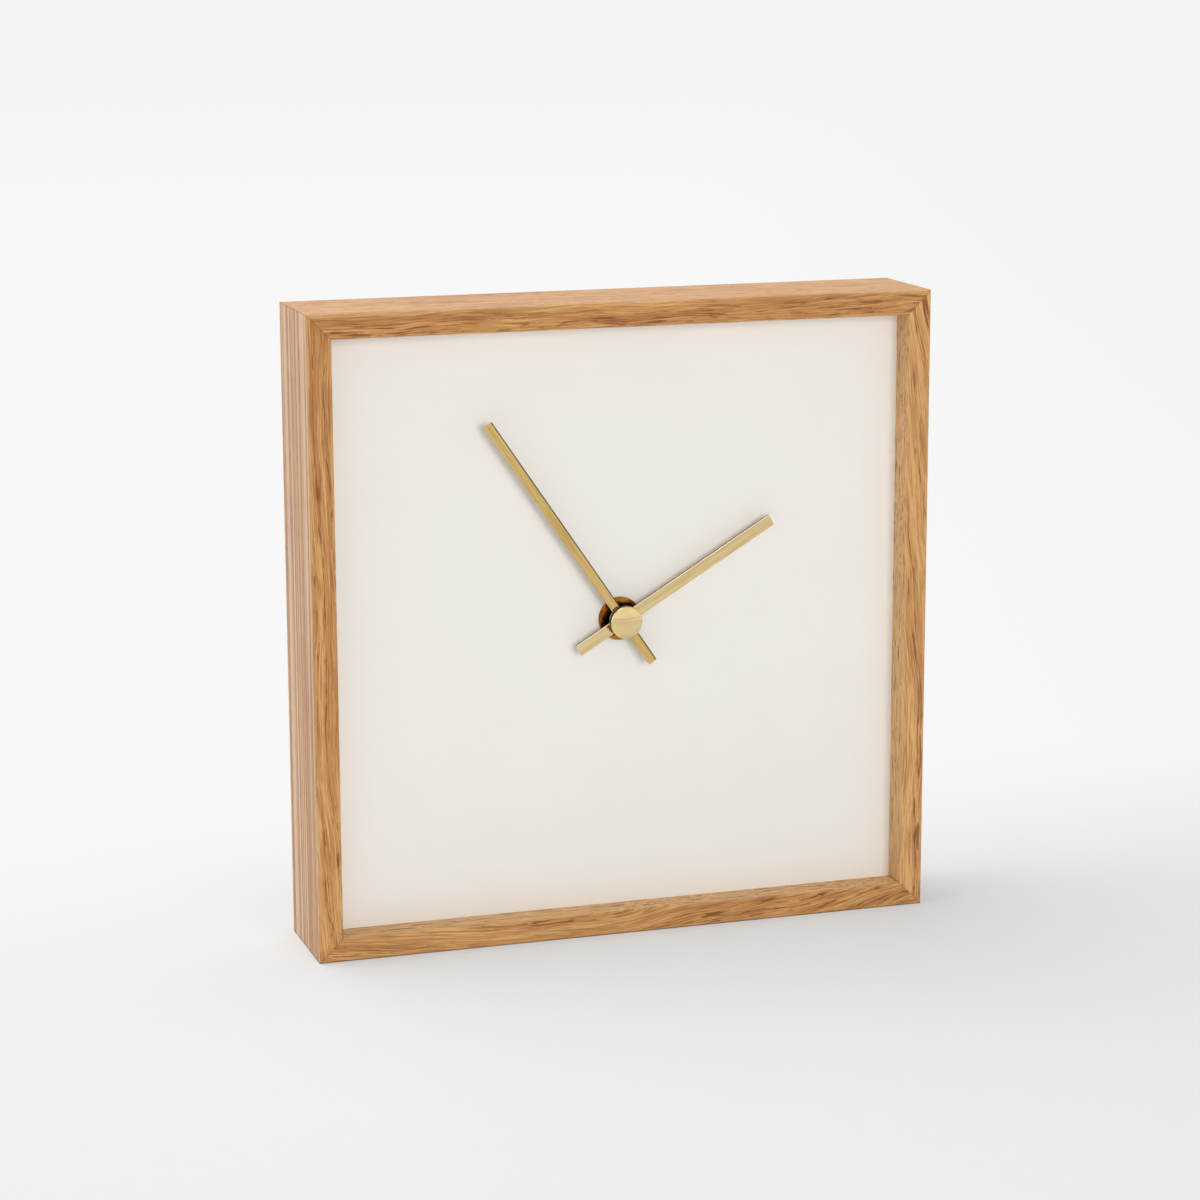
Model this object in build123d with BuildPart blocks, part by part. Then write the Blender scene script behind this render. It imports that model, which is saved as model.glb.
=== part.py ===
"""Square oak desk clock: mitred rails, a recessed plain dial, brass bar hands and a quartz movement."""

import os
from math import cos, radians, sin

from build123d import *

# Case: four mitred oak rails, a thin lip in front of the dial and a rebate behind it
CASE_WIDTH = 200.0
CASE_HEIGHT = 200.0
CASE_DEPTH = 36.5
RAIL_FACE = 7.6
REBATE_WIDTH = 3.0
DIAL_RECESS = 9.0
RAIL_EDGE = 0.4
OVERRUN = 1.0

# Dial board and back panel, both let into the rebate
DIAL_THICKNESS = 3.0
BOARD_CLEARANCE = 0.2
BACK_THICKNESS = 3.0
BACK_INSET = 0.5
OPENING_MARGIN = 10.0
OPENING_RADIUS = 6.0

# Glue blocks in the corners, between the dial and the back panel
BLOCK_LEG = 18.0

# Hands, measured from the hand axis
HOUR_HAND_REACH = 57.0
HOUR_HAND_TAIL = 17.0
HOUR_HAND_WIDTH = 3.7
MINUTE_HAND_REACH = 77.5
MINUTE_HAND_TAIL = 16.5
MINUTE_HAND_WIDTH = 3.0
HAND_THICKNESS = 1.0
HAND_EYE_RADIUS = 4.5
HAND_GAP = 0.5
HOUR_HAND_ANGLE = 30.7
MINUTE_HAND_ANGLE = 124.3
COLLET_WALL = 1.0
COLLET_GAP = 0.2
COLLET_SKIRT = 0.45

# Domed closed nut that clamps the minute hand
CAP_RADIUS = 5.15
CAP_WALL_HEIGHT = 2.35
CAP_CROWN_HEIGHT = 0.8
CAP_CROWN_SHARES = ((1.0, 0.0), (0.55, 0.70), (0.0, 1.0))
CAP_THREAD_DEPTH = 1.6
CAP_THREAD_GAP = 0.5

# Bush through the dial, with its washer, nut and gasket
BUSH_RADIUS = 4.0
BUSH_FLANGE_RADIUS = 6.0
BUSH_FLANGE_THICKNESS = 0.6
DIAL_HOLE_CLEARANCE = 0.2
WASHER_RADIUS = 6.85
WASHER_THICKNESS = 0.8
NUT_ACROSS_FLATS = 10.0
NUT_THICKNESS = 1.5
BUSH_STANDOFF = 0.2
GASKET_SIDE = 24.0
GASKET_THICKNESS = 1.0

# Pipes and arbors that turn inside one another on the hand axis
HOUR_PIPE_RADIUS = 2.5
MINUTE_PIPE_RADIUS = 1.6
MINUTE_NECK_RADIUS = 1.3
ARBOR_RADIUS = 0.5
SETTING_ARBOR_RADIUS = 1.0
PLAY = 0.05
PIVOT_DEPTH = 0.8
COLLAR_RADIUS = 2.4
COLLAR_THICKNESS = 0.3

# Gears: counts, the distances that set their size, and their levels from the dial backwards
CANNON_TEETH = 8
MOTION_TEETH = 24
MOTION_PINION_TEETH = 6
HOUR_TEETH = 24
CENTRE_TEETH = 48
THIRD_PINION_TEETH = 6
THIRD_TEETH = 45
FOURTH_PINION_TEETH = 6
FOURTH_TEETH = 36
FIFTH_PINION_TEETH = 6
FIFTH_TEETH = 30
ROTOR_TEETH = 6
CENTRE_TO_THIRD = 9.5
FIFTH_TO_ROTOR = 7.5
THIRD_BEARING = 180.0
FIFTH_BEARING = 90.0
SETTING_BEARING = 0.0
ROTOR_BEARING = 37.0
GEAR_THICKNESS = 0.9
LEVEL_GAP = 0.5
WHEEL_CLEARANCE = 0.3

# Teeth: height from the pitch circle in modules, and half width there as a share of the tooth pitch
WHEEL_TOOTH_SHARES = ((-1.25, 0.33), (0.85, 0.10))
PINION_TOOTH_SHARES = ((-1.25, 0.22), (0.85, 0.08))
KNOB_RIB_SHARES = ((-0.35, 0.30), (0.0, 0.22))

# Bridge that carries the rear pivots
BRIDGE_THICKNESS = 1.2
BRIDGE_EYE_RADIUS = 2.6
POST_SIDE = 3.0
POST_CLEARANCE = 0.5
LEFT_POST_BEARING = 120.0
RIGHT_POST_BEARING = -30.0
PEG_SIDE = 1.6
PEG_END = 0.4

# Step motor
MAGNET_RADIUS = 2.0
MAGNET_THICKNESS = 1.8
STATOR_GAP = 0.5
STATOR_NECK = 1.0
STATOR_LENGTH = 26.0
STATOR_LEG = 5.0
STATOR_THICKNESS = 0.8
WINDING_BUILD = 1.4
WINDING_CORNER = 0.7
COIL_SPACING = 0.6
CORE_WIDTH = 3.0
CORE_THICKNESS = 1.0
BARREL_WALL = 0.5
BOBBIN_FLANGE_THICKNESS = 0.8
BOBBIN_FLANGE_LIP = 0.3
BOBBIN_CLEARANCE = 0.2

# Circuit board with its crystal can and moulded chip
BOARD_WIDTH = 7.0
BOARD_THICKNESS = 1.0
BOARD_STANDOFF = 4.0
BOARD_POST_INSET = 4.0
CRYSTAL_RADIUS = 1.0
CRYSTAL_LENGTH = 6.0
CHIP_SIDE = 5.0
CHIP_HEIGHT = 1.0

# Battery and its contacts
BATTERY_DIAMETER = 14.5
BATTERY_LENGTH = 50.5
BATTERY_NUB_RADIUS = 2.7
BATTERY_NUB_LENGTH = 1.0
BATTERY_CLEARANCE = 0.3
CONTACT_THICKNESS = 0.4
CONTACT_WIDTH = 8.0
LEAF_BOW = 1.6
STRIP_WIDTH = 1.8

# Movement housing: a front plate and a rear shell
HOUSING_WALL = 1.5
PARTITION_WALL = 1.0
HOUSING_RADIUS = 3.0
CHAMBER_CLEARANCE = 1.5

# Setting knob at the back
KNOB_RADIUS = 5.5
KNOB_HEIGHT = 2.5
KNOB_GAP = 0.3
KNOB_FLOOR = 0.6
KNOB_RIBS = 12


def facing(depth):
    """Plane parallel to the dial, at a depth behind the case's front, centred on the hand axis."""
    return Plane(origin=(0, depth - CASE_DEPTH / 2, CASE_HEIGHT / 2), x_dir=(1, 0, 0), z_dir=(0, -1, 0))


def across(x, depth, height):
    """Plane square to the case's width, with depth along its first axis and height along its second."""
    origin = (x, depth - CASE_DEPTH / 2, CASE_HEIGHT / 2 + height)
    return Plane(origin=origin, x_dir=(0, 1, 0), z_dir=(1, 0, 0))


def flat(x, depth, height):
    """Plane that lies flat, with the case's width along its first axis and depth along its second."""
    return Plane(origin=(x, depth - CASE_DEPTH / 2, CASE_HEIGHT / 2 + height))


def turned():
    """Plane through the hand axis, with radius along its first axis and depth along its second."""
    return flat(0, 0, 0)


def hand_axis():
    """The line that the hands turn about, from front to back."""
    return Axis((0, 0, CASE_HEIGHT / 2), (0, 1, 0))


def polar(centre, distance, bearing):
    """Point at a distance and bearing from a centre, seen from the front."""
    turn = radians(bearing)
    return (centre[0] + distance * cos(turn), centre[1] + distance * sin(turn))


def disc(radius, front, back, at=(0, 0), mode=Mode.ADD):
    """Round slab between two depths, added to the part being built or cut from it."""
    with BuildSketch(facing(back)) as outline:
        with Locations(at):
            Circle(radius)
    extrude(outline.sketch, amount=back - front, mode=mode)


def slab(left, right, bottom, top, front, back, mode=Mode.ADD):
    """Square slab between two depths, added to the part being built or cut from it."""
    with BuildSketch(facing(back)) as outline:
        with Locations(((left + right) / 2, (bottom + top) / 2)):
            Rectangle(right - left, top - bottom)
    extrude(outline.sketch, amount=back - front, mode=mode)


def module_of(distance, teeth, mate_teeth):
    """Tooth module of two gears that mesh at a distance."""
    return 2 * distance / (teeth + mate_teeth)


def tip_radius(module, teeth, tooth_shares):
    """Outside radius of a gear."""
    return module * (teeth / 2 + tooth_shares[-1][0])


def mated_phase(teeth, phase, bearing, mate_teeth):
    """Phase that puts a gap of the mate on a tooth of a gear, along the bearing between them."""
    tooth_at_mesh = teeth * (bearing - phase) / 360
    return bearing + 180 - 360 / mate_teeth * (0.5 - tooth_at_mesh)


def toothed(teeth, module, tooth_shares, phase, front, back, at=(0, 0)):
    """Toothed slab between two depths, with its first tooth at the phase angle."""
    pitch_radius = module * teeth / 2
    pitch_angle = 360 / teeth
    flank = [(pitch_radius + module * height, half * pitch_angle) for height, half in tooth_shares]
    points = []
    for tooth in range(teeth):
        middle = phase + tooth * pitch_angle
        points += [polar((0, 0), radius, middle - half) for radius, half in flank]
        points += [polar((0, 0), radius, middle + half) for radius, half in reversed(flank)]
    with BuildSketch(facing(back)) as outline:
        with Locations(at):
            Polygon(*points, align=None)
    extrude(outline.sketch, amount=back - front)


def bar_hand(reach, tail, width, angle, back):
    """Bar with a tail and a round eye, lying at an angle in front of a depth."""
    with BuildSketch(facing(back)) as outline:
        with Locations(Location((0, 0), angle)):
            with Locations(((reach - tail) / 2, 0)):
                Rectangle(reach + tail, width)
        Circle(HAND_EYE_RADIUS)
    extrude(outline.sketch, amount=HAND_THICKNESS)


def square(side, front, back, at, mode=Mode.ADD):
    """Square post or hole between two depths, centred on a place."""
    slab(at[0] - side / 2, at[0] + side / 2, at[1] - side / 2, at[1] + side / 2, front, back, mode)


def pegged_post(at, seat, top):
    """Moulded post, with a peg that stands through what sits on it."""
    square(POST_SIDE, chamber_front, seat, at)
    square(PEG_SIDE, seat, top + PEG_END, at)


def mitred_rail(length, plane):
    """Rail with mitred ends and eased edges, rebated behind the dial's shoulder."""
    with BuildPart() as rail:
        with BuildSketch(plane):
            with BuildLine():
                Polyline(
                    (-length / 2, 0),
                    (length / 2, 0),
                    (length / 2 - RAIL_FACE, RAIL_FACE),
                    (RAIL_FACE - length / 2, RAIL_FACE),
                    close=True,
                )
            make_face()
        extrude(amount=-CASE_DEPTH)
        with BuildSketch(plane.offset(-DIAL_RECESS)):
            with Locations((0, RAIL_FACE - REBATE_WIDTH)):
                Rectangle(length, REBATE_WIDTH + OVERRUN, align=(Align.CENTER, Align.MIN))
        extrude(amount=DIAL_RECESS - CASE_DEPTH, mode=Mode.SUBTRACT)
        by_depth = rail.edges().filter_by(Axis(plane.origin, plane.x_dir)).group_by(
            Axis(plane.origin, plane.z_dir)
        )
        chamfer(by_depth[0] + by_depth[-1], RAIL_EDGE)
    return rail


# Depths from the case's front to its back
dial_front = DIAL_RECESS
dial_back = dial_front + DIAL_THICKNESS
housing_front = dial_back + GASKET_THICKNESS
chamber_front = housing_front + HOUSING_WALL
level_pitch = GEAR_THICKNESS + LEVEL_GAP
hour_level = chamber_front + LEVEL_GAP
motion_level = hour_level + level_pitch
centre_level = motion_level + level_pitch
third_level = centre_level + level_pitch
fourth_level = third_level + level_pitch
fifth_level = fourth_level + level_pitch
bridge_front = fifth_level + level_pitch
bridge_back = bridge_front + BRIDGE_THICKNESS
battery_depth = chamber_front + BATTERY_CLEARANCE + BATTERY_DIAMETER / 2
battery_back = battery_depth + BATTERY_DIAMETER / 2
strip_front = bridge_back + PEG_END + LEVEL_GAP
strip_back = strip_front + STRIP_WIDTH
housing_back = max(battery_back + BATTERY_CLEARANCE, strip_back + LEVEL_GAP + HOUSING_WALL)
chamber_back = housing_back - HOUSING_WALL
knob_front = housing_back + KNOB_GAP
panel_back = CASE_DEPTH - BACK_INSET
panel_front = panel_back - BACK_THICKNESS
washer_front = dial_front - WASHER_THICKNESS
nut_front = washer_front - NUT_THICKNESS
bush_front = nut_front - BUSH_STANDOFF
collet_back = bush_front - COLLET_GAP
hour_hand_back = collet_back - COLLET_SKIRT
hour_hand_front = hour_hand_back - HAND_THICKNESS
minute_hand_back = hour_hand_front - HAND_GAP
minute_hand_front = minute_hand_back - HAND_THICKNESS

# Sizes and axes of the gears, seen from the front with the hand axis at zero
centre_module = module_of(CENTRE_TO_THIRD, THIRD_PINION_TEETH, CENTRE_TEETH)
third_module = module_of(CENTRE_TO_THIRD, FOURTH_PINION_TEETH, THIRD_TEETH)
fifth_module = module_of(FIFTH_TO_ROTOR, ROTOR_TEETH, FIFTH_TEETH)
centre_tip = tip_radius(centre_module, CENTRE_TEETH, WHEEL_TOOTH_SHARES)
third_tip = tip_radius(third_module, THIRD_TEETH, WHEEL_TOOTH_SHARES)
fourth_module = centre_tip / (FOURTH_TEETH / 2 + WHEEL_TOOTH_SHARES[-1][0])
centre_to_fifth = fourth_module * (FOURTH_TEETH + FIFTH_PINION_TEETH) / 2
centre_to_setting = centre_tip + WHEEL_CLEARANCE + SETTING_ARBOR_RADIUS
cannon_module = module_of(centre_to_setting, CANNON_TEETH, MOTION_TEETH)
hour_module = module_of(centre_to_setting, MOTION_PINION_TEETH, HOUR_TEETH)
motion_tip = tip_radius(cannon_module, MOTION_TEETH, WHEEL_TOOTH_SHARES)
centre = (0, 0)
third_axis = polar(centre, CENTRE_TO_THIRD, THIRD_BEARING)
fifth_axis = polar(centre, centre_to_fifth, FIFTH_BEARING)
setting_axis = polar(centre, centre_to_setting, SETTING_BEARING)
rotor_axis = polar(fifth_axis, FIFTH_TO_ROTOR, ROTOR_BEARING)

# Step motor, above the train
stator_half = MAGNET_RADIUS + STATOR_GAP + STATOR_NECK
stator_right = rotor_axis[0] + STATOR_LENGTH / 2
stator_left = rotor_axis[0] - STATOR_LENGTH / 2
barrel_depth = CORE_THICKNESS + 2 * PLAY + 2 * BARREL_WALL
barrel_height = CORE_WIDTH + 2 * PLAY + 2 * BARREL_WALL
flange_depth = barrel_depth + 2 * WINDING_BUILD + 2 * BOBBIN_FLANGE_LIP
flange_height = barrel_height + 2 * WINDING_BUILD + 2 * BOBBIN_FLANGE_LIP
coil_height = rotor_axis[1] + stator_half + COIL_SPACING + flange_height / 2
stator_back = centre_level + STATOR_THICKNESS
core_back = stator_back + CORE_THICKNESS
core_depth = stator_back + CORE_THICKNESS / 2
leg_axes = [(x, coil_height) for x in (stator_left + STATOR_LEG / 2, stator_right - STATOR_LEG / 2)]
bobbin_left = stator_left + STATOR_LEG + BOBBIN_CLEARANCE
bobbin_length = STATOR_LENGTH - 2 * STATOR_LEG - 2 * BOBBIN_CLEARANCE

# Posts of the front plate that carry the bridge, clear of the wheels beside them
bridge_posts = [
    polar(third_axis, third_tip + POST_CLEARANCE + POST_SIDE, LEFT_POST_BEARING),
    polar(setting_axis, motion_tip + POST_CLEARANCE + POST_SIDE, RIGHT_POST_BEARING),
    (stator_right + POST_CLEARANCE + POST_SIDE, rotor_axis[1]),
]

# Movement housing, as large as the train, the board and the battery below them need
board_right = third_axis[0] - third_tip - 2 * WHEEL_CLEARANCE
board_left = board_right - BOARD_WIDTH
battery_reach = (BATTERY_LENGTH + LEAF_BOW + 2 * CONTACT_THICKNESS) / 2
chamber_half = max(battery_reach, CONTACT_THICKNESS + PLAY - board_left)
chamber_top = coil_height + flange_height / 2 + LEVEL_GAP
chamber_bottom = -third_tip - CHAMBER_CLEARANCE
bay_top = chamber_bottom - PARTITION_WALL
bay_bottom = bay_top - BATTERY_DIAMETER - 2 * BATTERY_CLEARANCE
battery_height = (bay_top + bay_bottom) / 2
housing_width = 2 * (chamber_half + HOUSING_WALL)
housing_height = chamber_top - bay_bottom + 2 * HOUSING_WALL
housing_middle = (chamber_top + bay_bottom) / 2
battery_right = chamber_half - CONTACT_THICKNESS - PLAY
battery_left = battery_right - BATTERY_LENGTH
board_bottom = chamber_bottom + CONTACT_THICKNESS + PLAY
board_top = chamber_top - LEVEL_GAP
board_front = chamber_front + BOARD_STANDOFF
board_back = board_front + BOARD_THICKNESS
board_middle = (board_left + board_right) / 2
board_posts = [(board_middle, board_bottom + BOARD_POST_INSET), (board_middle, board_top - BOARD_POST_INSET)]
contact_front = battery_depth - CONTACT_WIDTH / 2
contact_back = battery_depth + CONTACT_WIDTH / 2
contact_bottom = battery_height - CONTACT_WIDTH / 2

leaf_reach = battery_left + chamber_half
crystal_bottom = CHIP_SIDE / 2 + LEVEL_GAP
opening_width = housing_width + 2 * OPENING_MARGIN
opening_height = housing_height + 2 * OPENING_MARGIN
pivot_front = chamber_front - PIVOT_DEPTH
knob_back = knob_front + KNOB_HEIGHT
arbor_back = knob_back - KNOB_FLOOR
collar_back = centre_level + GEAR_THICKNESS + PLAY + COLLAR_THICKNESS
magnet_front = centre_level + (STATOR_THICKNESS - MAGNET_THICKNESS) / 2
collet_radius = HOUR_PIPE_RADIUS + COLLET_WALL
cap_thread_front = minute_hand_front - CAP_THREAD_DEPTH
neck_front = cap_thread_front + CAP_THREAD_GAP
cap_rim = minute_hand_front - CAP_WALL_HEIGHT
crown = [(CAP_RADIUS * out, cap_rim - CAP_CROWN_HEIGHT * rise) for out, rise in CAP_CROWN_SHARES]

# Tooth phases: each pair meets tooth to gap on the line between its axes
motion_phase = mated_phase(CANNON_TEETH, 0, SETTING_BEARING, MOTION_TEETH)
hour_phase = mated_phase(MOTION_PINION_TEETH, 0, SETTING_BEARING + 180, HOUR_TEETH)
third_phase = mated_phase(FOURTH_PINION_TEETH, 0, THIRD_BEARING, THIRD_TEETH)
centre_phase = mated_phase(THIRD_PINION_TEETH, 0, THIRD_BEARING + 180, CENTRE_TEETH)
fifth_pinion_phase = mated_phase(FOURTH_TEETH, 0, FIFTH_BEARING, FIFTH_PINION_TEETH)
rotor_phase = mated_phase(FIFTH_TEETH, 0, ROTOR_BEARING, ROTOR_TEETH)

# Inside of the case behind the dial's shoulder
rail_wall = RAIL_FACE - REBATE_WIDTH
rebate_width = CASE_WIDTH - 2 * rail_wall
rebate_height = CASE_HEIGHT - 2 * rail_wall
case_front = -CASE_DEPTH / 2

# The four rails
bottom_rail = mitred_rail(CASE_WIDTH, Plane((0, case_front, 0), (1, 0, 0), (0, -1, 0)))
top_rail = mitred_rail(CASE_WIDTH, Plane((0, case_front, CASE_HEIGHT), (-1, 0, 0), (0, -1, 0)))
left_stile = mitred_rail(
    CASE_HEIGHT, Plane((-CASE_WIDTH / 2, case_front, CASE_HEIGHT / 2), (0, 0, -1), (0, -1, 0))
)
right_stile = mitred_rail(
    CASE_HEIGHT, Plane((CASE_WIDTH / 2, case_front, CASE_HEIGHT / 2), (0, 0, 1), (0, -1, 0))
)

# Dial board, resting against the shoulder of the rebate
with BuildPart() as dial_board:
    with BuildSketch(facing(dial_back)):
        Rectangle(rebate_width - 2 * BOARD_CLEARANCE, rebate_height - 2 * BOARD_CLEARANCE)
        Circle(BUSH_RADIUS + DIAL_HOLE_CLEARANCE, mode=Mode.SUBTRACT)
    extrude(amount=DIAL_THICKNESS)

# Glue blocks that trap the dial and carry the back panel
with BuildPart() as corner_blocks:
    with BuildSketch(facing(panel_front)):
        for side in (-1, 1):
            for end in (-1, 1):
                corner = (side * rebate_width / 2, end * rebate_height / 2)
                with BuildLine():
                    Polyline(
                        corner,
                        (corner[0] - side * BLOCK_LEG, corner[1]),
                        (corner[0], corner[1] - end * BLOCK_LEG),
                        close=True,
                    )
                make_face()
    extrude(amount=panel_front - dial_back)

# Back panel with its opening over the movement
with BuildPart() as back_panel:
    with BuildSketch(facing(panel_back)):
        Rectangle(rebate_width - 2 * BOARD_CLEARANCE, rebate_height - 2 * BOARD_CLEARANCE)
        with Locations((0, housing_middle)):
            RectangleRounded(opening_width, opening_height, OPENING_RADIUS, mode=Mode.SUBTRACT)
    extrude(amount=BACK_THICKNESS)

# Rubber gasket between the dial and the movement
with BuildPart() as rubber_gasket:
    square(GASKET_SIDE, dial_back, housing_front, centre)
    disc(BUSH_RADIUS + DIAL_HOLE_CLEARANCE, dial_back, housing_front, mode=Mode.SUBTRACT)

# Threaded bush, held from turning by its hexagonal flange in the front plate
with BuildPart() as threaded_bush:
    disc(BUSH_RADIUS, bush_front, chamber_front)
    with BuildSketch(facing(chamber_front)):
        RegularPolygon(BUSH_FLANGE_RADIUS, 6)
    extrude(amount=BUSH_FLANGE_THICKNESS)
    disc(HOUR_PIPE_RADIUS + PLAY, bush_front, chamber_front, mode=Mode.SUBTRACT)

# Washer and hex nut that clamp the dial
with BuildPart() as dial_washer:
    disc(WASHER_RADIUS, washer_front, dial_front)
    disc(BUSH_RADIUS + PLAY, washer_front, dial_front, mode=Mode.SUBTRACT)

with BuildPart() as dial_nut:
    with BuildSketch(facing(washer_front)):
        RegularPolygon(NUT_ACROSS_FLATS / 2, 6, major_radius=False)
        Circle(BUSH_RADIUS, mode=Mode.SUBTRACT)
    extrude(amount=NUT_THICKNESS)

# Hour hand: a bar with a tail and a round eye, with a collet that grips the hour pipe
with BuildPart() as hour_hand:
    bar_hand(HOUR_HAND_REACH, HOUR_HAND_TAIL, HOUR_HAND_WIDTH, HOUR_HAND_ANGLE, hour_hand_back)
    disc(collet_radius, hour_hand_back, collet_back)
    disc(HOUR_PIPE_RADIUS, hour_hand_front, collet_back, mode=Mode.SUBTRACT)

# Minute hand, seated on the shoulder of the minute pipe
with BuildPart() as minute_hand:
    bar_hand(
        MINUTE_HAND_REACH, MINUTE_HAND_TAIL, MINUTE_HAND_WIDTH, MINUTE_HAND_ANGLE, minute_hand_back
    )
    disc(MINUTE_NECK_RADIUS, minute_hand_front, minute_hand_back, mode=Mode.SUBTRACT)

# Domed closed nut over the minute hand
with BuildPart() as hand_cap:
    with BuildSketch(turned()):
        with BuildLine():
            Polyline((0, minute_hand_front), (CAP_RADIUS, minute_hand_front), *crown, close=True)
        make_face()
    revolve(axis=hand_axis())
    disc(MINUTE_NECK_RADIUS, cap_thread_front, minute_hand_front, mode=Mode.SUBTRACT)

# Hour wheel and the pipe that carries the hour hand
with BuildPart() as hour_wheel:
    toothed(HOUR_TEETH, hour_module, WHEEL_TOOTH_SHARES, hour_phase, hour_level, hour_level + GEAR_THICKNESS)
    disc(HOUR_PIPE_RADIUS, hour_hand_front, hour_level + GEAR_THICKNESS)
    disc(MINUTE_PIPE_RADIUS + PLAY, hour_hand_front, hour_level + GEAR_THICKNESS, mode=Mode.SUBTRACT)

# Minute pipe with the cannon pinion, a neck for the hand and a collar behind the centre wheel
with BuildPart() as minute_pipe:
    toothed(CANNON_TEETH, cannon_module, PINION_TOOTH_SHARES, 0, motion_level, centre_level - PLAY)
    disc(MINUTE_PIPE_RADIUS, minute_hand_back, collar_back)
    disc(MINUTE_NECK_RADIUS, neck_front, minute_hand_back)
    disc(COLLAR_RADIUS, collar_back - COLLAR_THICKNESS, collar_back)
    disc(ARBOR_RADIUS + PLAY, neck_front, collar_back, mode=Mode.SUBTRACT)

# Centre wheel, gripped between the cannon pinion and the collar so that it slips when the hands are set
with BuildPart() as centre_wheel:
    toothed(
        CENTRE_TEETH,
        centre_module,
        WHEEL_TOOTH_SHARES,
        centre_phase,
        centre_level,
        centre_level + GEAR_THICKNESS,
    )
    disc(MINUTE_PIPE_RADIUS + PLAY, centre_level, centre_level + GEAR_THICKNESS, mode=Mode.SUBTRACT)

# Third wheel: its pinion drives the centre wheel
with BuildPart() as third_wheel:
    toothed(THIRD_PINION_TEETH, centre_module, PINION_TOOTH_SHARES, 0, centre_level, third_level, third_axis)
    toothed(
        THIRD_TEETH,
        third_module,
        WHEEL_TOOTH_SHARES,
        third_phase,
        third_level,
        third_level + GEAR_THICKNESS,
        third_axis,
    )
    disc(ARBOR_RADIUS, pivot_front, bridge_back, third_axis)

# Fourth wheel, which turns once a minute on an arbor inside the minute pipe
with BuildPart() as fourth_wheel:
    toothed(FOURTH_PINION_TEETH, third_module, PINION_TOOTH_SHARES, 0, third_level, fourth_level)
    toothed(
        FOURTH_TEETH,
        fourth_module,
        WHEEL_TOOTH_SHARES,
        0,
        fourth_level,
        fourth_level + GEAR_THICKNESS,
    )
    disc(ARBOR_RADIUS, dial_front, bridge_back)

# Fifth wheel, between the rotor and the fourth wheel
with BuildPart() as fifth_wheel:
    toothed(
        FIFTH_PINION_TEETH,
        fourth_module,
        PINION_TOOTH_SHARES,
        fifth_pinion_phase,
        fourth_level,
        fifth_level,
        fifth_axis,
    )
    toothed(
        FIFTH_TEETH,
        fifth_module,
        WHEEL_TOOTH_SHARES,
        0,
        fifth_level,
        fifth_level + GEAR_THICKNESS,
        fifth_axis,
    )
    disc(ARBOR_RADIUS, pivot_front, bridge_back, fifth_axis)

# Rotor of the step motor: a pinion on an arbor, with a ring magnet
with BuildPart() as rotor:
    toothed(
        ROTOR_TEETH,
        fifth_module,
        PINION_TOOTH_SHARES,
        rotor_phase,
        fifth_level,
        fifth_level + GEAR_THICKNESS,
        rotor_axis,
    )
    disc(ARBOR_RADIUS, pivot_front, bridge_back, rotor_axis)

with BuildPart() as rotor_magnet:
    disc(MAGNET_RADIUS, magnet_front, magnet_front + MAGNET_THICKNESS, rotor_axis)
    disc(ARBOR_RADIUS, magnet_front, magnet_front + MAGNET_THICKNESS, rotor_axis, Mode.SUBTRACT)

# Motion wheel and its pinion, on the arbor that the setting knob turns
with BuildPart() as motion_wheel:
    toothed(
        MOTION_PINION_TEETH,
        hour_module,
        PINION_TOOTH_SHARES,
        0,
        hour_level,
        motion_level,
        setting_axis,
    )
    toothed(
        MOTION_TEETH,
        cannon_module,
        WHEEL_TOOTH_SHARES,
        motion_phase,
        motion_level,
        motion_level + GEAR_THICKNESS,
        setting_axis,
    )
    disc(ARBOR_RADIUS, pivot_front, hour_level, setting_axis)
    disc(SETTING_ARBOR_RADIUS, hour_level, arbor_back, setting_axis)

with BuildPart() as setting_knob:
    toothed(KNOB_RIBS, 2 * KNOB_RADIUS / KNOB_RIBS, KNOB_RIB_SHARES, 0, knob_front, knob_back, setting_axis)
    disc(SETTING_ARBOR_RADIUS, knob_front, arbor_back, setting_axis, Mode.SUBTRACT)

# Bridge with the rear pivots, on the posts of the front plate
with BuildPart() as train_bridge:
    with BuildSketch(facing(bridge_back)):
        with Locations(centre, third_axis, fifth_axis, rotor_axis, setting_axis, *bridge_posts):
            Circle(BRIDGE_EYE_RADIUS)
        make_hull()
    extrude(amount=BRIDGE_THICKNESS)
    for axis_place in (centre, third_axis, fifth_axis, rotor_axis):
        disc(ARBOR_RADIUS + PLAY, bridge_front, bridge_back, axis_place, Mode.SUBTRACT)
    disc(SETTING_ARBOR_RADIUS + PLAY, bridge_front, bridge_back, setting_axis, Mode.SUBTRACT)
    for post in bridge_posts:
        square(PEG_SIDE, bridge_front, bridge_back, post, Mode.SUBTRACT)

# Stator plate of the step motor, with legs up to the coil
with BuildPart() as stator:
    slab(
        stator_left,
        stator_right,
        rotor_axis[1] - stator_half,
        rotor_axis[1] + stator_half,
        centre_level,
        stator_back,
    )
    for leg in leg_axes:
        slab(
            leg[0] - STATOR_LEG / 2,
            leg[0] + STATOR_LEG / 2,
            rotor_axis[1],
            coil_height + STATOR_LEG / 2,
            centre_level,
            stator_back,
        )
        square(PEG_SIDE, centre_level, stator_back, leg, Mode.SUBTRACT)
    disc(MAGNET_RADIUS + STATOR_GAP, centre_level, stator_back, rotor_axis, Mode.SUBTRACT)

# Core through the coil, on the same pegs as the legs
with BuildPart() as coil_core:
    slab(
        stator_left,
        stator_right,
        coil_height - CORE_WIDTH / 2,
        coil_height + CORE_WIDTH / 2,
        stator_back,
        core_back,
    )
    for leg in leg_axes:
        square(PEG_SIDE, stator_back, core_back, leg, Mode.SUBTRACT)

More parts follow.
